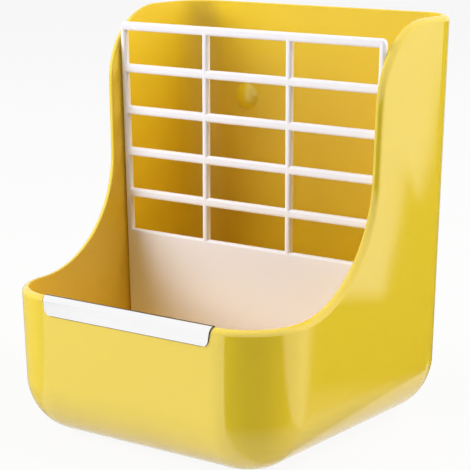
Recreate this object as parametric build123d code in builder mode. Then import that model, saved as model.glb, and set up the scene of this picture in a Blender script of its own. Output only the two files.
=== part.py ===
"""Hay feeder box for small pets: a moulded bin with a food bowl in front.

+X is to the right seen from the bowl side, +Y goes back to the cage wall, +Z is up.
The origin is on the floor, under the middle of the box.
"""
from build123d import *
from math import radians, tan
import os

# ---- driving dimensions, in millimetres and degrees ----
box_height = 200.0           # base to the top of the back wall
rim_width = 166.0            # outer width at the top of the back wall
box_depth = 162.4            # front face to back face at the front rim's height
front_rim_height = 71.8      # the bowl's low front rim
side_draft = 1.7             # lean of the side walls
front_draft = 1.0            # lean of the front wall
wall = 3.4                   # wall and floor thickness
front_corner = 29.5          # upright front corners, outside
rear_corner = 21.0           # upright rear corners, outside
base_fillet = 28.0           # big round under all four walls
flat_cut = 0.1               # depth of the round that the flat base takes off
rim_inner_round = 0.6         # small break on the inside of the rim
rim_flat = 0.2                # level strip left on top; the outside takes the rest of the wall

cove_radius = 57.0           # hollow curve from the bowl's rim up the side wall
shoulder_radius = 38.0       # round curve from there to the top
riser_front = 5.3            # where the upright part of the side rim starts, in Y
riser_lean = 1.7             # how far it leans back on its way up

grille_front = 13.4          # front face of the grille, in Y
grille_thick = 3.6
grille_top = 192.6
rail_height = 4.4
rail_pitch = 21.4
rail_count = 5
post_width = 3.4
post_offset = 25.0           # middle of each inner post, in X
bar_round = 1.4
top_corner = 3.0
foot_corner_play = 1.0       # the foot's corners to the round inside the base
panel_thick = 2.4            # the closed lower panel, flush with the front of the bars
side_play = 0.4              # grille edge to side wall
slide_play = 0.3             # grille face to guide rib, and grille foot to floor

rib_proud = 1.4              # guide ribs on both side walls: a tall one behind the grille
rib_thick = 2.0
rib_bottom = 27.0
rib_top = 164.0
lug_top = 40.0               # and a short one before it, down in the bowl
cut_margin = 40.0            # how far cutting shapes reach past the box

guard_sheet = 0.5            # folded steel bite guard over the front rim
guard_end_gap = 0.1          # strip's ends to where the round front corners start
guard_drop = 9.2
guard_side_taper = 2.0
guard_corner = 4.0
guard_play = 0.03

bolt_offset = 45.0           # clamp bolts, each side of the middle
bolt_level = 150.0
bolt_radius = 3.0
bolt_head_radius = 7.0
bolt_head_height = 2.6
bolt_neck = 6.1              # square neck that keeps the bolt from turning
neck_play = 0.05             # neck to its square hole, on each side
bolt_reach = 27.0            # shank beyond the back wall
bolt_chamfer = 1.0           # at the free end
cage_gap = 4.0               # room for the cage wire at rest
thread_play = 0.05
washer_radius = 15.0
washer_thick = 2.5
washer_chamfer = 0.6
washer_play = 0.3
nut_height = 9.0
nut_hub_radius = 6.2
nut_hub_taper = 4.0          # lean of the hub's side, in degrees
wing_span = 17.0             # middle of the nut to a wing's outer edge
wing_height = 15.0           # nut face to the top of the wings
wing_sweep = 6.0             # nut face to the lowest point of a wing's outer edge
wing_tip = 7.0               # width of a wing at its top
wing_root = 1.0              # how far the wings keep inside both ends of the hub
wing_round = 2.5
wing_thick = 2.6

# ---- sizes that follow from them ----
front_y = -box_depth / 2
back_y = box_depth / 2
base_half_width = rim_width / 2 - box_height * tan(radians(side_draft))
base_front_y = front_y + front_rim_height * tan(radians(front_draft))
top_front_y = base_front_y - box_height * tan(radians(front_draft))
inner_fillet = base_fillet - wall
rim_outer_round = wall - rim_inner_round - rim_flat
rim_half_width = base_half_width + front_rim_height * tan(radians(side_draft))
guard_half_width = rim_half_width - front_corner - guard_end_gap
grille_back = grille_front + grille_thick
grille_foot = wall + slide_play
panel_top = grille_top - rail_count * rail_pitch
inner_back = back_y - wall
washer_front = back_y + cage_gap
nut_front = washer_front + washer_thick
bolt_places = (("left", -bolt_offset), ("right", bolt_offset))


def inner_half_width(level):
    """Half of the clear width between the side walls at a height."""
    return base_half_width - wall + (level - wall) * tan(radians(side_draft))


def grille_half_width(level):
    return inner_half_width(level) - side_play


def plan_outline(half_width, front, back, front_radius):
    """The box seen from above, its rear corners still sharp."""
    return FilletPolyline(
        (-half_width, back),
        (-half_width, front),
        (half_width, front),
        (half_width, back),
        radius=[0, front_radius, front_radius, 0],
        close=True,
    )


def drafted_block(inset, floor):
    """The box's outer form, or with an inset the hollow inside it."""
    back = back_y - inset
    with BuildPart() as block:
        with BuildSketch(Plane.XY.offset(floor - flat_cut)):
            with BuildLine():
                plan_outline(base_half_width - inset, base_front_y + inset, back, front_corner - inset)
            make_face()
        with BuildSketch(Plane.XY.offset(floor + box_height)):
            with BuildLine():
                plan_outline(rim_width / 2 - inset, top_front_y + inset, back, front_corner - inset)
            make_face()
        loft(ruled=True)
        fillet(block.faces().sort_by(Axis.Z)[0].edges(), radius=base_fillet - inset)
        upright = block.edges().filter_by(lambda edge: edge.bounding_box().size.Z > box_height / 2)
        fillet(upright.group_by(Axis.Y)[-1], radius=rear_corner - inset)
        split(bisect_by=Plane.XY.offset(floor), keep=Keep.TOP)
    return block.part


# ---- housing: one moulding, bin and bowl together ----
with BuildPart() as housing:
    hollow = drafted_block(wall, wall)
    add(drafted_block(0.0, 0.0))
    add(hollow, mode=Mode.SUBTRACT)

    # the side walls sweep down from the back wall to the low front rim
    with BuildSketch(Plane.YZ):
        with BuildLine():
            profile = FilletPolyline(
                (front_y - cut_margin, front_rim_height),
                (riser_front, front_rim_height),
                (riser_front + riser_lean, box_height),
                (back_y + cut_margin, box_height),
                radius=[cove_radius, shoulder_radius],
            )
            Polyline(
                profile @ 1,
                (back_y + cut_margin, box_height + cut_margin),
                (front_y - cut_margin, box_height + cut_margin),
                profile @ 0,
            )
        make_face()
    extrude(amount=rim_width, both=True, mode=Mode.SUBTRACT)

    # the rim is rounded all along, softly outside and a little inside
    def on_rim(face):
        normal = face.normal_at()
        across = face.bounding_box().size.X < 2 * wall and abs(normal.X) < 0.01
        return face.center().Z > front_rim_height - wall and (across or normal.Z > 0.9)

    def across_wall(edge):
        return edge.length < 2 * wall and abs(edge.tangent_at(0.5).X) > 0.99

    def beside_hollow(edge):
        return hollow.distance_to(edge @ 0.5) < wall / 4

    for inner_side, radius in ((False, rim_outer_round), (True, rim_inner_round)):
        rim_edges = housing.faces().filter_by(on_rim).edges()
        rim_edges = rim_edges.filter_by(lambda edge: not across_wall(edge))
        fillet(rim_edges.filter_by(lambda edge: beside_hollow(edge) == inner_side), radius=radius)

    # guide ribs that hold the grille upright, standing on both side walls
    lug_front = grille_front - slide_play - rib_thick
    for rib_front, top in ((lug_front, lug_top), (grille_back + slide_play, rib_top)):
        with BuildSketch(Plane.XZ.offset(-rib_front - rib_thick)):
            for side in (-1, 1):
                with BuildLine():
                    Polyline(
                        (side * (inner_half_width(rib_bottom) + wall / 2), rib_bottom),
                        (side * (inner_half_width(rib_bottom) - rib_proud), rib_bottom + rib_thick),
                        (side * (inner_half_width(top) - rib_proud), top - rib_thick),
                        (side * (inner_half_width(top) + wall / 2), top),
                        close=True,
                    )
                make_face()
        extrude(amount=rib_thick)

    # square holes for the necks of the two clamp bolts
    with BuildSketch(Plane.XZ.offset(-back_y)):
        with Locations(*[(place, bolt_level) for side, place in bolt_places]):
            Rectangle(bolt_neck + 2 * neck_play, bolt_neck + 2 * neck_play)
    extrude(amount=2 * wall, mode=Mode.SUBTRACT)

# ---- grille: open bars above, a closed panel below ----
with BuildPart() as grille:
    foot_corner = inner_fillet + foot_corner_play
    with BuildSketch(Plane.XZ.offset(-grille_back)):
        with BuildLine():
            FilletPolyline(
                (-grille_half_width(grille_top), grille_top),
                (-grille_half_width(grille_foot), grille_foot),
                (grille_half_width(grille_foot), grille_foot),
                (grille_half_width(grille_top), grille_top),
                radius=[top_corner, foot_corner, foot_corner, top_corner],
                close=True,
            )
        make_face()
    extrude(amount=grille_thick)

    # three columns of openings between the rails
    opening_height = rail_pitch - rail_height
    with BuildSketch(Plane.XZ.offset(-grille_back)):
        for row in range(rail_count):
            top = grille_top - rail_height - row * rail_pitch
            bottom = top - opening_height
            with Locations((0, (top + bottom) / 2)):
                Rectangle(2 * post_offset - post_width, opening_height)
            for side in (-1, 1):
                with BuildLine():
                    Polyline(
                        (side * (post_offset + post_width / 2), bottom),
                        (side * (grille_half_width(bottom) - post_width), bottom),
                        (side * (grille_half_width(top) - post_width), top),
                        (side * (post_offset + post_width / 2), top),
                        close=True,
                    )
                make_face()
    extrude(amount=grille_thick, mode=Mode.SUBTRACT)
    front_and_back = grille.faces().filter_by(Axis.Y)
    fillet(front_and_back.edges(), radius=bar_round)

    # the panel is thinner than the bars, hollow on the hay side
    recess_top = panel_top - rail_height
    with BuildSketch(Plane.XZ.offset(-grille_back)):
        with BuildLine():
            FilletPolyline(
                (-grille_half_width(recess_top) + post_width, recess_top),
                (-grille_half_width(grille_foot) + post_width, grille_foot + post_width),
                (grille_half_width(grille_foot) - post_width, grille_foot + post_width),
                (grille_half_width(recess_top) - post_width, recess_top),
                radius=[bar_round, inner_fillet, inner_fillet, bar_round],
                close=True,
            )
        make_face()
    extrude(amount=grille_thick - panel_thick, mode=Mode.SUBTRACT)

# ---- bite guard: steel strip folded over the front rim ----
with BuildPart() as bite_guard:
    rim_lean = tan(radians(front_draft))
    rim_thick = wall * (1 + rim_lean)
    half_sheet = guard_play + guard_sheet / 2
    crest = front_rim_height + half_sheet
    low = front_rim_height + half_sheet + guard_sheet / 2 - guard_drop
    drop = crest - low
    with BuildSketch(Plane.YZ):
        with BuildLine():
            FilletPolyline(
                (front_y - half_sheet + drop * rim_lean, low),
                (front_y - half_sheet, crest),
                (front_y + rim_thick + half_sheet, crest),
                (front_y + rim_thick + half_sheet + drop * rim_lean, low),
                radius=[rim_outer_round + half_sheet, rim_inner_round + half_sheet],
            )
        trace(line_width=guard_sheet)
    extrude(amount=guard_half_width, both=True)
    with BuildSketch(Plane.XZ.offset(-back_y)):
        with BuildLine():
            FilletPolyline(
                (-guard_half_width, front_rim_height + wall),
                (-guard_half_width + guard_side_taper, low - guard_sheet),
                (guard_half_width - guard_side_taper, low - guard_sheet),
                (guard_half_width, front_rim_height + wall),
                radius=[guard_sheet, guard_corner, guard_corner, guard_sheet],
                close=True,
            )
        make_face()
    extrude(amount=2 * box_depth, mode=Mode.INTERSECT)

# ---- clamp bolts: domed head in the bin, square neck in the back wall ----
with BuildPart() as clamp_bolts:
    head_front = inner_back - bolt_head_height
    bolt_end = back_y + bolt_reach
    dome_radius = (bolt_head_radius**2 + bolt_head_height**2) / (2 * bolt_head_height)
    with BuildSketch(Plane.YZ.offset(-bolt_offset)):
        with BuildLine():
            Polyline(
                (inner_back, bolt_level + bolt_head_radius),
                (inner_back, bolt_level + bolt_radius),
                (bolt_end - bolt_chamfer, bolt_level + bolt_radius),
                (bolt_end, bolt_level + bolt_radius - bolt_chamfer),
                (bolt_end, bolt_level),
                (head_front, bolt_level),
            )
            RadiusArc((head_front, bolt_level), (inner_back, bolt_level + bolt_head_radius), dome_radius)
        make_face()
    revolve(axis=Axis((-bolt_offset, 0, bolt_level), (0, 1, 0)))
    with BuildSketch(Plane.XZ.offset(-inner_back)):
        with Locations((-bolt_offset, bolt_level)):
            Rectangle(bolt_neck, bolt_neck)
    extrude(amount=-wall)
    mirror(about=Plane.YZ)

# ---- large washers that press the cage wire against the back wall ----
washers = []
for side, place in bolt_places:
    with BuildPart() as clamp_washer:
        with BuildSketch(Plane.XZ.offset(-washer_front)):
            with Locations((place, bolt_level)):
                Circle(washer_radius)
                Circle(bolt_radius + washer_play, mode=Mode.SUBTRACT)
        extrude(amount=-washer_thick)
        outer_rims = clamp_washer.edges().filter_by(GeomType.CIRCLE).group_by(SortBy.RADIUS)[-1]
        chamfer(outer_rims, length=washer_chamfer)
    clamp_washer.part.label = f"clamp_washer_{side}"
    washers.append(clamp_washer.part)

# ---- wing nuts behind the washers ----
nuts = []
for side, place in bolt_places:
    with BuildPart() as wing_nut:
        with BuildSketch(Plane.XZ.offset(-nut_front)):
            with Locations((place, bolt_level)):
                Circle(nut_hub_radius)
        extrude(amount=-nut_height, taper=nut_hub_taper)
        with BuildSketch(Plane.XY.offset(bolt_level)):
            with BuildLine():
                FilletPolyline(
                    (place, nut_front + wing_root),
                    (place + nut_hub_radius, nut_front + wing_root),
                    (place + wing_span, nut_front + wing_sweep),
                    (place + wing_span, nut_front + wing_height),
                    (place + wing_span - wing_tip, nut_front + wing_height),
                    (place + nut_hub_radius - wing_root, nut_front + nut_height - wing_root),
                    (place, nut_front + nut_height - wing_root),
                    radius=[0, wing_round, wing_round, wing_round, wing_round, wing_round, 0],
                    close=True,
                )
            make_face()
            mirror(about=Plane.YZ.offset(place))
        extrude(amount=wing_thick / 2, both=True)
        with Locations(Plane(origin=(place, nut_front, bolt_level), z_dir=(0, -1, 0))):
            Hole(bolt_radius + thread_play)
    wing_nut.part.label = f"wing_nut_{side}"
    nuts.append(wing_nut.part)

# ---- export, one file for each piece ----
housing.part.label = "housing"
grille.part.label = "grille"
bite_guard.part.label = "bite_guard"
clamp_bolts.part.label = "clamp_bolts"
os.makedirs("parts", exist_ok=True)
for piece in [housing.part, grille.part, bite_guard.part, clamp_bolts.part] + washers + nuts:
    export_step(piece, f"parts/{piece.label}.step")
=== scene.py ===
"""Blender scene of the hay feeder box: materials, threaded clamp bolts, floor, lamps, camera."""
import math

import bmesh
import bpy
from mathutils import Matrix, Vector


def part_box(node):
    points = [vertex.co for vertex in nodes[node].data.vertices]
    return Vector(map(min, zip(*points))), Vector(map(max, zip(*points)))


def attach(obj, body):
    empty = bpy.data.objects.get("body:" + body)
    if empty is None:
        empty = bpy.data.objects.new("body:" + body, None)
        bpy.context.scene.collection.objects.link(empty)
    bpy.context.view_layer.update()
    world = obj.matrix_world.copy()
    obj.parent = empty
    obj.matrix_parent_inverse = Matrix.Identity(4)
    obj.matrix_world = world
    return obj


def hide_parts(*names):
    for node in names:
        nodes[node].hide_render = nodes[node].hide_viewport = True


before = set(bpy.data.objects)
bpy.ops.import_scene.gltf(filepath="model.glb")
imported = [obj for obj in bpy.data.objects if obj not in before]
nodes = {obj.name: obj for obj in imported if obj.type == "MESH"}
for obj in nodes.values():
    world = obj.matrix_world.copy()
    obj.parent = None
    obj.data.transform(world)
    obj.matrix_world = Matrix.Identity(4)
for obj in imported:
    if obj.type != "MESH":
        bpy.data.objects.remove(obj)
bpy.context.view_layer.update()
scene = bpy.context.scene

WHITE_LIGHT = (1.0, 1.0, 1.0)


# ---- node helpers ----

def fill_socket(tree, socket, value):
    """Set a socket to a number or a colour, or link it to another socket."""
    if isinstance(value, (int, float)):
        socket.default_value = value
    elif isinstance(value, tuple):
        socket.default_value = (*value, 1.0)
    else:
        tree.links.new(value, socket)


def new_material(name):
    material = bpy.data.materials.new(name)
    material.use_nodes = True
    material.node_tree.nodes.clear()
    return material


def principled(material):
    tree = material.node_tree
    output = tree.nodes.new("ShaderNodeOutputMaterial")
    shader = tree.nodes.new("ShaderNodeBsdfPrincipled")
    tree.links.new(shader.outputs["BSDF"], output.inputs["Surface"])
    return shader


def object_position(tree, stretch=(1.0, 1.0, 1.0)):
    """Object coordinates in metres, stretched along the axes."""
    place = tree.nodes.new("ShaderNodeTexCoord")
    mapping = tree.nodes.new("ShaderNodeMapping")
    mapping.inputs["Scale"].default_value = stretch
    tree.links.new(place.outputs["Object"], mapping.inputs["Vector"])
    return mapping.outputs["Vector"]


def noise(tree, vector, scale, detail=2.0, rough=0.5):
    node = tree.nodes.new("ShaderNodeTexNoise")
    node.inputs["Scale"].default_value = scale
    node.inputs["Detail"].default_value = detail
    node.inputs["Roughness"].default_value = rough
    tree.links.new(vector, node.inputs["Vector"])
    return node.outputs["Fac"]


def remap(tree, value, low, high, to_low, to_high):
    node = tree.nodes.new("ShaderNodeMapRange")
    node.inputs["From Min"].default_value = low
    node.inputs["From Max"].default_value = high
    node.inputs["To Min"].default_value = to_low
    node.inputs["To Max"].default_value = to_high
    tree.links.new(value, node.inputs["Value"])
    return node.outputs["Result"]


def math_node(tree, operation, first, second=0.0):
    node = tree.nodes.new("ShaderNodeMath")
    node.operation = operation
    fill_socket(tree, node.inputs[0], first)
    fill_socket(tree, node.inputs[1], second)
    return node.outputs["Value"]


def product(tree, *factors):
    result = factors[0]
    for factor in factors[1:]:
        result = math_node(tree, "MULTIPLY", result, factor)
    return result


def brightest(tree, *values):
    result = values[0]
    for value in values[1:]:
        result = math_node(tree, "MAXIMUM", result, value)
    return result


def vector_node(tree, operation, first, second=None):
    """A vector operation, its second input a fixed vector, a socket or unused."""
    node = tree.nodes.new("ShaderNodeVectorMath")
    node.operation = operation
    tree.links.new(first, node.inputs[0])
    if isinstance(second, tuple):
        node.inputs[1].default_value = second
    elif second is not None:
        tree.links.new(second, node.inputs[1])
    return node.outputs


def split(tree, vector):
    node = tree.nodes.new("ShaderNodeSeparateXYZ")
    tree.links.new(vector, node.inputs["Vector"])
    return node.outputs


def mix_colour(tree, factor, first, second):
    node = tree.nodes.new("ShaderNodeMix")
    node.data_type = "RGBA"
    fill_socket(tree, node.inputs["Factor"], factor)
    fill_socket(tree, node.inputs["A"], first)
    fill_socket(tree, node.inputs["B"], second)
    return node.outputs["Result"]


def mix_shader(tree, factor, first, second):
    node = tree.nodes.new("ShaderNodeMixShader")
    tree.links.new(factor, node.inputs["Fac"])
    tree.links.new(first, node.inputs[1])
    tree.links.new(second, node.inputs[2])
    return node.outputs["Shader"]


def light_path(tree):
    return tree.nodes.new("ShaderNodeLightPath").outputs


def bump(tree, height, distance, normal=None):
    node = tree.nodes.new("ShaderNodeBump")
    node.inputs["Distance"].default_value = distance
    node.inputs["Strength"].default_value = 1.0
    tree.links.new(height, node.inputs["Height"])
    if normal is not None:
        tree.links.new(normal, node.inputs["Normal"])
    return node.outputs["Normal"]


# ---- materials ----
# Lengths are in metres. A noise's scale is how many of its cells fit in a metre.

YELLOW = (0.87, 0.655, 0.020)
YELLOW_DEEP = (0.86, 0.64, 0.019)
# deeper yellow painted on the inside of the housing: painted shade and warm bounce light of the
# hollow
YELLOW_INNER_SHADE = (0.84, 0.555, 0.008)
WHITE = (0.92, 0.912, 0.975)
WHITE_DEEP = (0.912, 0.903, 0.968)
STEEL = (0.96, 0.96, 0.97)
# painted contact shadow, with a little dust, round the steel strip
SHADOW_DUST_COLOUR = (0.20, 0.13, 0.02)
CUT_EDGE_COLOUR = (0.14, 0.13, 0.12)
# painted shade on top of the steel fold
FOLD_SHADE_COLOUR = (0.10, 0.075, 0.05)

PLASTIC_IOR = 1.6
FLOW_SCALE = 14.0               # flow marks in the colour, long from top to bottom
FLOW_STRETCH = (1.0, 1.0, 0.35)
FLOW_RANGE = (0.3, 0.7)
HAZE_SCALE = 45.0               # patches of slightly higher and lower gloss
HAZE_RANGE = (0.2, 0.8)
HAZE_SPREAD = (0.85, 1.2)       # times the material's own roughness
SCUFF_SCALE = 240.0             # fine scuffs that run round the walls
SCUFF_STRETCH = (1.0, 1.0, 9.0)
SCUFF_RANGE = (0.60, 0.85)
SCUFF_ROUGHNESS = 0.03
WAVE_SCALE = 16.0               # slow waves of the moulded walls
PEEL_SCALE = 650.0              # orange peel of the skin

# The inside of the housing is painted deeper in colour as painted shade and bounce light of the
# hollow, strongest low down; it is also rougher.
INNER_MIDDLE = (0.0, 0.0, 0.06)  # the inner faces look towards it
INNER_FACING = (-0.022, -0.008)  # reach from the middle along the normal: inner side, outer side
INNER_SHADE_HEIGHTS = (0.13, 0.19)     # the painted inner shade fades here, towards the top
INNER_SHADE_SHARE = (1.0, 0.4)         # its share below and above
CORE_ROUGHNESS = 0.48           # added on the inside

SHADOW_DUST_SOLID = 0.6                # part of the painted shadow line's width that is evenly dark
SHADOW_DUST_STRENGTH = 0.8
SHADOW_DUST_DEPTH = (0.0045, 0.005)    # the painted shadow line fades out this far behind the strip's front

LINE_SCALE = 900.0              # brushed lines in the steel
LINE_DARKER = 0.95
SHINE_RANGE = (0.3, 0.7)
SHINE_SPREAD = (0.8, 1.2)       # times the metal's own roughness
CUT_FACING = (0.3, 0.6)         # how far a cut edge faces sideways or down
FOLD_FACING = (0.955, 0.985)    # how far the top of the fold faces up
EDGE_AND_FOLD_ROUGHNESS = 0.3            # added on cut edges and on the fold


def inner_side(tree):
    """1 on faces that look towards the middle of the hollow body, 0 on its outside."""
    normal = tree.nodes.new("ShaderNodeNewGeometry").outputs["Normal"]
    place = tree.nodes.new("ShaderNodeTexCoord").outputs["Object"]
    arm = vector_node(tree, "SUBTRACT", place, INNER_MIDDLE)["Vector"]
    facing = vector_node(tree, "DOT_PRODUCT", arm, normal)["Value"]
    return remap(tree, facing, *INNER_FACING, 1.0, 0.0)


def moulded_plastic(name, colour, deep, roughness, specular, waviness, peel, inner_shade=None):
    """Glossy moulding: faint flow marks in its colour, orange peel, uneven gloss, fine scuffs.
    Where an inner shade colour is given, the inside gets it as painted shade and warm bounce
    light, strongest low down, and is duller than the outside."""
    material = new_material(name)
    shader = principled(material)
    tree = material.node_tree
    place = object_position(tree)
    flow = noise(tree, object_position(tree, FLOW_STRETCH), FLOW_SCALE, detail=3.0)
    tint = mix_colour(tree, remap(tree, flow, *FLOW_RANGE, 0.0, 1.0), colour, deep)
    haze = noise(tree, place, HAZE_SCALE, detail=1.0)
    spread = [roughness * part for part in HAZE_SPREAD]
    uneven = remap(tree, haze, *HAZE_RANGE, *spread)
    scuffs = noise(tree, object_position(tree, SCUFF_STRETCH), SCUFF_SCALE, detail=1.0)
    scuffed = remap(tree, scuffs, *SCUFF_RANGE, 0.0, SCUFF_ROUGHNESS)
    gloss = math_node(tree, "ADD", uneven, scuffed)
    if inner_shade:
        inside = inner_side(tree)
        shade_low_down = remap(tree, split(tree, place)["Z"], *INNER_SHADE_HEIGHTS, *INNER_SHADE_SHARE)
        # painted shade: the inner faces get the deeper colour, most of it low down
        tint = mix_colour(tree, product(tree, inside, shade_low_down), tint, inner_shade)
        gloss = math_node(tree, "ADD", gloss, product(tree, inside, CORE_ROUGHNESS))
    waves = bump(tree, noise(tree, place, WAVE_SCALE, detail=1.0), waviness)
    skin = bump(tree, noise(tree, place, PEEL_SCALE), peel, normal=waves)
    tree.links.new(tint, shader.inputs["Base Color"])
    tree.links.new(gloss, shader.inputs["Roughness"])
    tree.links.new(skin, shader.inputs["Normal"])
    shader.inputs["IOR"].default_value = PLASTIC_IOR
    shader.inputs["Specular IOR Level"].default_value = specular
    return material


def shadow_and_dust_line(material, node, taper, corner, width):
    """A thin dark line on the wall, round the outer leg of the folded strip: painted contact
    shadow, with a little dust.
    The strip's ends lean in by taper towards its lower corners, whose radius is corner."""
    tree = material.node_tree
    shader = tree.nodes["Principled BSDF"]
    lowest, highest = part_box(node)
    place = split(tree, object_position(tree))
    solid = SHADOW_DUST_SOLID * width
    up = math_node(tree, "SUBTRACT", place["Z"], lowest.z)
    lean = math_node(tree, "MULTIPLY", up, taper / (highest.z - lowest.z))
    half_width = math_node(tree, "ADD", lean, highest.x - taper - corner + solid)
    sideways = math_node(tree, "ABSOLUTE", place["X"])
    across = math_node(tree, "SUBTRACT", sideways, half_width)
    below = math_node(tree, "SUBTRACT", lowest.z + corner, place["Z"])
    arm = tree.nodes.new("ShaderNodeCombineXYZ")
    tree.links.new(math_node(tree, "MAXIMUM", across, 0.0), arm.inputs["X"])
    tree.links.new(math_node(tree, "MAXIMUM", below, 0.0), arm.inputs["Y"])
    span = vector_node(tree, "LENGTH", arm.outputs["Vector"])["Value"]
    near = remap(tree, span, corner + solid, corner + width, SHADOW_DUST_STRENGTH, 0.0)
    depths = [lowest.y + depth for depth in SHADOW_DUST_DEPTH]
    line = product(tree, near, remap(tree, place["Y"], *depths, 1.0, 0.0))
    tint = shader.inputs["Base Color"].links[0].from_socket
    # painted contact shadow mixed into the wall's colour
    tree.links.new(mix_colour(tree, line, tint, SHADOW_DUST_COLOUR), shader.inputs["Base Color"])


def brushed_metal(name, colour, roughness, stretch, depth):
    """Metal sheet with fine lines along one axis, an uneven shine, dull cut edges
    and a dark line of painted shade on top of the fold."""
    material = new_material(name)
    shader = principled(material)
    tree = material.node_tree
    lines = noise(tree, object_position(tree, stretch), LINE_SCALE, detail=3.0, rough=0.6)
    haze = noise(tree, object_position(tree), HAZE_SCALE, detail=3.0)
    normal = split(tree, tree.nodes.new("ShaderNodeNewGeometry").outputs["Normal"])
    sideways = math_node(tree, "ABSOLUTE", normal["X"])
    downward = math_node(tree, "MULTIPLY", normal["Z"], -1.0)
    cut = remap(tree, brightest(tree, sideways, downward), *CUT_FACING, 0.0, 1.0)
    fold = remap(tree, normal["Z"], *FOLD_FACING, 0.0, 1.0)
    darker = tuple(LINE_DARKER * part for part in colour)
    sheen = mix_colour(tree, lines, colour, darker)
    edged = mix_colour(tree, cut, sheen, CUT_EDGE_COLOUR)
    # painted shade: the top of the fold is darkened
    tint = mix_colour(tree, fold, edged, FOLD_SHADE_COLOUR)
    spread = [roughness * part for part in SHINE_SPREAD]
    uneven = remap(tree, haze, *SHINE_RANGE, *spread)
    dulled = product(tree, brightest(tree, cut, fold), EDGE_AND_FOLD_ROUGHNESS)
    tree.links.new(tint, shader.inputs["Base Color"])
    tree.links.new(math_node(tree, "ADD", uneven, dulled), shader.inputs["Roughness"])
    tree.links.new(bump(tree, lines, depth), shader.inputs["Normal"])
    shader.inputs["Metallic"].default_value = 1.0
    return material


housing_plastic = moulded_plastic(
    "housing_plastic", YELLOW, YELLOW_DEEP, roughness=0.06, specular=1.0,
    waviness=0.0003, peel=0.000003, inner_shade=YELLOW_INNER_SHADE)
# painted contact shadow, with a little dust, round the steel strip on the wall
shadow_and_dust_line(housing_plastic, "bite_guard", taper=0.002, corner=0.004, width=0.0007)
bolt_plastic = moulded_plastic(
    "bolt_plastic", YELLOW, YELLOW_DEEP, roughness=0.20, specular=0.8,
    waviness=0.0001, peel=0.000003)
grille_plastic = moulded_plastic(
    "grille_plastic", WHITE, WHITE_DEEP, roughness=0.36, specular=0.5,
    waviness=0.00005, peel=0.000004)
clamp_plastic = moulded_plastic(
    "clamp_plastic", WHITE, WHITE_DEEP, roughness=0.42, specular=0.4,
    waviness=0.0001, peel=0.00001)
sheet_steel = brushed_metal(
    "sheet_steel", STEEL, roughness=0.14, stretch=(0.02, 1.0, 1.0), depth=0.000001)

looks = {
    "housing": housing_plastic,
    "grille": grille_plastic,
    "bite_guard": sheet_steel,
    "clamp_bolts": bolt_plastic,
    "clamp_washer_left": clamp_plastic,
    "clamp_washer_right": clamp_plastic,
    "wing_nut_left": clamp_plastic,
    "wing_nut_right": clamp_plastic,
}
for node, material in looks.items():
    nodes[node].data.materials.clear()
    nodes[node].data.materials.append(material)


# ---- clamp bolts with a real thread, in the place of the plain CAD bolts ----

HEAD_RADIUS = 0.007
HEAD_HEIGHT = 0.0026
NECK_WIDTH = 0.0061       # square
NECK_LENGTH = 0.0034      # the wall's thickness
SHANK_RADIUS = 0.003
TIP_CHAMFER = 0.001
PITCH = 0.001             # one turn of the nut moves it 1 mm
THREAD_DEPTH = 0.0006
THREAD_RUN_IN = 0.0015    # start of the shank, where the thread fades in
FLANK_STEEPNESS = 0.62    # over 0.5, so that crests and roots are flat
AROUND = 32               # points round a ring
DOME_RINGS = 7
RINGS_PER_PITCH = 8
SHARP_EDGE = 35.0         # degrees between faces, from which an edge isn't smoothed


def ring_angle(step):
    return 2 * math.pi * step / AROUND


def dome_rings(front):
    """Rings of the domed head, from near its middle out to its edge."""
    curve = (HEAD_RADIUS**2 + HEAD_HEIGHT**2) / (2 * HEAD_HEIGHT)
    rings = []
    for step in range(1, DOME_RINGS + 1):
        radius = HEAD_RADIUS * step / DOME_RINGS
        depth = front + curve - math.sqrt(curve**2 - radius**2)
        rings.append([(radius, depth)] * AROUND)
    return rings


def neck_rings(start):
    """The two square rings of the neck that keeps the bolt from turning."""
    square = []
    for step in range(AROUND):
        angle = ring_angle(step)
        square.append(NECK_WIDTH / 2 / max(abs(math.cos(angle)), abs(math.sin(angle))))
    return [[(radius, depth) for radius in square] for depth in (start, start + NECK_LENGTH)]


def thread_rings(start, end):
    """Rings of a right-hand thread along the shank, cut by the chamfer at its free end."""
    count = round((end - start) / PITCH * RINGS_PER_PITCH)
    rings = []
    for row in range(count + 1):
        depth = start + (end - start) * row / count
        cut = THREAD_DEPTH * min(1.0, (depth - start) / THREAD_RUN_IN)
        cone = SHANK_RADIUS - TIP_CHAMFER + (end - depth)
        ring = []
        for step in range(AROUND):
            turns = (depth - start) / PITCH + step / AROUND
            wave = 0.5 + FLANK_STEEPNESS * math.cos(2 * math.pi * turns)
            crest = min(1.0, max(0.0, wave))
            ring.append((min(SHANK_RADIUS - cut * (1.0 - crest), cone), depth))
        rings.append(ring)
    return rings


def add_bolt(mesh, middle, level, front, end):
    """One closed bolt along Y, from the top of its dome to its tip."""
    neck_start = front + HEAD_HEIGHT
    shank_start = neck_start + NECK_LENGTH
    rings = dome_rings(front) + neck_rings(neck_start) + thread_rings(shank_start, end)
    rows = []
    for ring in rings:
        row = []
        for step, (radius, depth) in enumerate(ring):
            x = middle + radius * math.cos(ring_angle(step))
            z = level + radius * math.sin(ring_angle(step))
            row.append(mesh.verts.new((x, depth, z)))
        rows.append(row)
    for row, next_row in zip(rows, rows[1:]):
        for step in range(AROUND):
            after = (step + 1) % AROUND
            mesh.faces.new((row[step], row[after], next_row[after], next_row[step]))
    for row, place in ((rows[0], front), (rows[-1], end)):
        pole = mesh.verts.new((middle, place, level))
        for step in range(AROUND):
            mesh.faces.new((row[step], row[(step + 1) % AROUND], pole))


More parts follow.
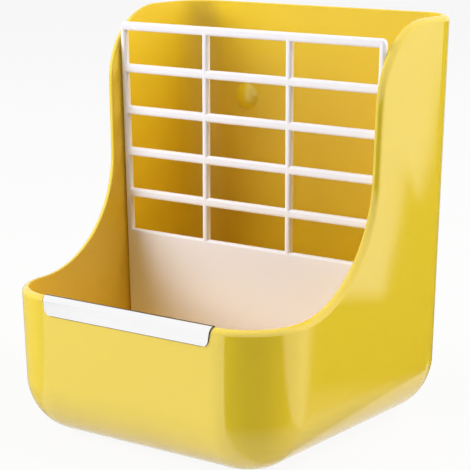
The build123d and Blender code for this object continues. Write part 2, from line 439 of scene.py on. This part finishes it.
def bolts_mesh():
    """Both bolts as one mesh, inside the box of the CAD bolts."""
    lowest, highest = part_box("clamp_bolts")
    level = (lowest.z + highest.z) / 2
    mesh = bmesh.new()
    for middle in (lowest.x + HEAD_RADIUS, highest.x - HEAD_RADIUS):
        add_bolt(mesh, middle, level, lowest.y, highest.y)
    bmesh.ops.recalc_face_normals(mesh, faces=mesh.faces)
    result = bpy.data.meshes.new("threaded_bolts")
    mesh.to_mesh(result)
    mesh.free()
    result.polygons.foreach_set("use_smooth", [True] * len(result.polygons))
    result.set_sharp_from_angle(angle=math.radians(SHARP_EDGE))
    result.materials.append(bolt_plastic)
    return result


threaded_bolts = bpy.data.objects.new("threaded_bolts", bolts_mesh())
scene.collection.objects.link(threaded_bolts)
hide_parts("clamp_bolts")
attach(threaded_bolts, "box")


# ---- stage: a pale floor before a white background ----
# The camera sees both as white. Gloss sees white cards that lie on a darker table.

FLOOR_REACH = 6.0
FLOOR_LEVEL = -0.0002           # just below the base
FLOOR_COLOUR = (0.72, 0.72, 0.72)
FLOOR_GLOW = 0.92               # share of plain white that the camera sees in the floor
AMBIENT = 0.05

# A card's straight edge: the azimuth of its normal, its distance from the origin along
# that normal, and half the width that it fades over.
FRONT_CARD_EDGES = ((50.0, -0.012, 0.012), (-102.0, -0.077, 0.006))
REAR_CARD_EDGE = (180.0, 0.15, 0.03)
NEAR_TONGUE_EDGE = (61.2, 0.0667, 0.004)
NEAR_TONGUE_START = (0.28, 0.34)     # distance from the origin
FAR_TONGUE_EDGES = ((62.6, 0.067, 0.004), (236.1, -0.0015, 0.003))
SIDE_CARD_EDGE = (57.5, 0.091, 0.003)
# A card that fills a sector: its azimuth, and how far from it the card ends and is full.
LEFT_CARD = (-90.0, 75.0, 50.0)
REAR_LEFT_CARD = (-150.0, 40.0, 20.0)
DARK_SECTOR = (42.0, 44.0, 34.0)
SIDE_CARD_LEVEL = 0.8
LEFT_CARD_LEVEL = 0.45
BESIDE_REACH = (0.11, 0.16)          # the floor next to the object is paler than the table
BESIDE_LEVELS = (0.55, 0.10)


def floor_heading(azimuth):
    """Unit vector on the floor, its azimuth from the front of the object, right positive."""
    angle = math.radians(azimuth)
    return (math.sin(angle), -math.cos(angle), 0.0)


def along(tree, vector, azimuth):
    return vector_node(tree, "DOT_PRODUCT", vector, floor_heading(azimuth))["Value"]


def smooth_step(tree, value, low, high):
    step = remap(tree, value, low, high, 0.0, 1.0)
    step.node.interpolation_type = "SMOOTHSTEP"
    return step


def beyond(tree, place, azimuth, offset, soft):
    """1 on the floor beyond a straight line, whose normal points in the given direction."""
    return smooth_step(tree, along(tree, place, azimuth), offset - soft, offset + soft)


def toward(tree, direction, azimuth, wide, narrow):
    """1 on the floor in one direction from the object, fading to 0 away from it."""
    edges = [math.cos(math.radians(angle)) for angle in (wide, narrow)]
    return smooth_step(tree, along(tree, direction, azimuth), *edges)


def card_pattern(tree):
    """How bright the floor is to gloss, from 0 to 1."""
    place = object_position(tree)
    heading = vector_node(tree, "NORMALIZE", place)["Vector"]
    distance = vector_node(tree, "LENGTH", place)["Value"]
    front_card = product(tree, *[beyond(tree, place, *edge) for edge in FRONT_CARD_EDGES])
    left_card = product(tree, toward(tree, heading, *LEFT_CARD), LEFT_CARD_LEVEL)
    near_tongue = product(tree, beyond(tree, place, *NEAR_TONGUE_EDGE),
                          smooth_step(tree, distance, *NEAR_TONGUE_START))
    far_tongue = product(tree, *[beyond(tree, place, *edge) for edge in FAR_TONGUE_EDGES])
    rear_card = product(tree, beyond(tree, place, *REAR_CARD_EDGE),
                        brightest(tree, near_tongue, far_tongue))
    side_card = product(tree, beyond(tree, place, *SIDE_CARD_EDGE), SIDE_CARD_LEVEL)
    rear_left = product(tree, toward(tree, heading, *REAR_LEFT_CARD), LEFT_CARD_LEVEL)
    shade = math_node(tree, "SUBTRACT", 1.0, toward(tree, heading, *DARK_SECTOR))
    cards = product(tree, brightest(tree, side_card, rear_left, rear_card), shade)
    beside = remap(tree, distance, *BESIDE_REACH, *BESIDE_LEVELS)
    return brightest(tree, front_card, left_card, cards, beside)


def floor_material():
    """White to the camera, matte to the lamps, and the cards to gloss."""
    material = new_material("floor_pale")
    tree = material.node_tree
    output = tree.nodes.new("ShaderNodeOutputMaterial")
    matte = tree.nodes.new("ShaderNodeBsdfDiffuse")
    fill_socket(tree, matte.inputs["Color"], FLOOR_COLOUR)
    glow = tree.nodes.new("ShaderNodeEmission")
    fill_socket(tree, glow.inputs["Color"], WHITE_LIGHT)
    path = light_path(tree)
    level = brightest(tree, path["Is Camera Ray"], card_pattern(tree))
    tree.links.new(level, glow.inputs["Strength"])
    from_camera = product(tree, path["Is Camera Ray"], FLOOR_GLOW)
    share = brightest(tree, from_camera, path["Is Glossy Ray"])
    surface = mix_shader(tree, share, matte.outputs["BSDF"], glow.outputs["Emission"])
    tree.links.new(surface, output.inputs["Surface"])
    return material


def background(tree, strength):
    node = tree.nodes.new("ShaderNodeBackground")
    fill_socket(tree, node.inputs["Color"], WHITE_LIGHT)
    node.inputs["Strength"].default_value = strength
    return node.outputs["Background"]


def studio_world():
    """White to the camera and to gloss, and a weak even light for everything else."""
    world = bpy.data.worlds.new("world")
    world.use_nodes = True
    tree = world.node_tree
    tree.nodes.clear()
    output = tree.nodes.new("ShaderNodeOutputWorld")
    path = light_path(tree)
    seen = brightest(tree, path["Is Camera Ray"], path["Is Glossy Ray"])
    surface = mix_shader(tree, seen, background(tree, AMBIENT), background(tree, 1.0))
    tree.links.new(surface, output.inputs["Surface"])
    return world


floor_mesh = bpy.data.meshes.new("floor")
corners = [(-1, -1), (1, -1), (1, 1), (-1, 1)]
floor_mesh.from_pydata([(FLOOR_REACH * x, FLOOR_REACH * y, 0) for x, y in corners],
                       [], [(0, 1, 2, 3)])
floor = bpy.data.objects.new("floor", floor_mesh)
floor.location = (0.0, 0.0, FLOOR_LEVEL)
floor_mesh.materials.append(floor_material())
scene.collection.objects.link(floor)
scene.world = studio_world()


# ---- lamps ----

LAMP_DISTANCE = 1.6
LAMP_AIM = Vector((0.0, 0.0, 0.08))
WARM_LIGHT = (1.0, 0.96, 0.90)
# name, azimuth and elevation in degrees, width and height in metres, watts, colour
SOFTBOXES = (
    ("key", -47.0, 24.0, 1.5, 0.8, 25.8, WHITE_LIGHT),
    ("rear_top", 115.0, 55.0, 0.8, 0.8, 13.0, WARM_LIGHT),
    ("rear_right", 120.0, 22.0, 0.9, 0.8, 11.0, WARM_LIGHT),
    ("back", 175.0, 30.0, 0.8, 0.8, 4.0, WHITE_LIGHT),
    ("top", -20.0, 75.0, 0.9, 0.9, 5.0, WHITE_LIGHT),
)


def softbox(name, azimuth, elevation, width, height, power, colour):
    """A softbox on a sphere round the object, its azimuth from the front, right positive.
    It lights the object, and gloss sees the even backdrop and the cards in its place."""
    rise = math.radians(elevation)
    outward = Vector(floor_heading(azimuth)) * math.cos(rise)
    outward += Vector((0.0, 0.0, math.sin(rise)))
    light = bpy.data.lights.new(name, "AREA")
    light.shape = "RECTANGLE"
    light.size = width
    light.size_y = height
    light.energy = power
    light.color = colour
    lamp = bpy.data.objects.new(name, light)
    lamp.location = LAMP_AIM + LAMP_DISTANCE * outward
    lamp.rotation_euler = (-outward).to_track_quat("-Z", "Y").to_euler()
    lamp.visible_glossy = False
    scene.collection.objects.link(lamp)


for settings in SOFTBOXES:
    softbox(*settings)


# ---- camera at the photograph's viewing angle ----

CAMERA_PLACE = (0.49033, -0.66997, 0.27021)
CAMERA_DIRECTION = Vector((-0.57484, 0.79135, -0.20816))

camera_data = bpy.data.cameras.new("camera")
camera_data.sensor_width = 36.0
camera_data.lens = 133.0
camera = bpy.data.objects.new("camera", camera_data)
camera.location = CAMERA_PLACE
camera.rotation_euler = CAMERA_DIRECTION.to_track_quat("-Z", "Y").to_euler()
scene.collection.objects.link(camera)
scene.camera = camera
scene.view_settings.view_transform = "Standard"
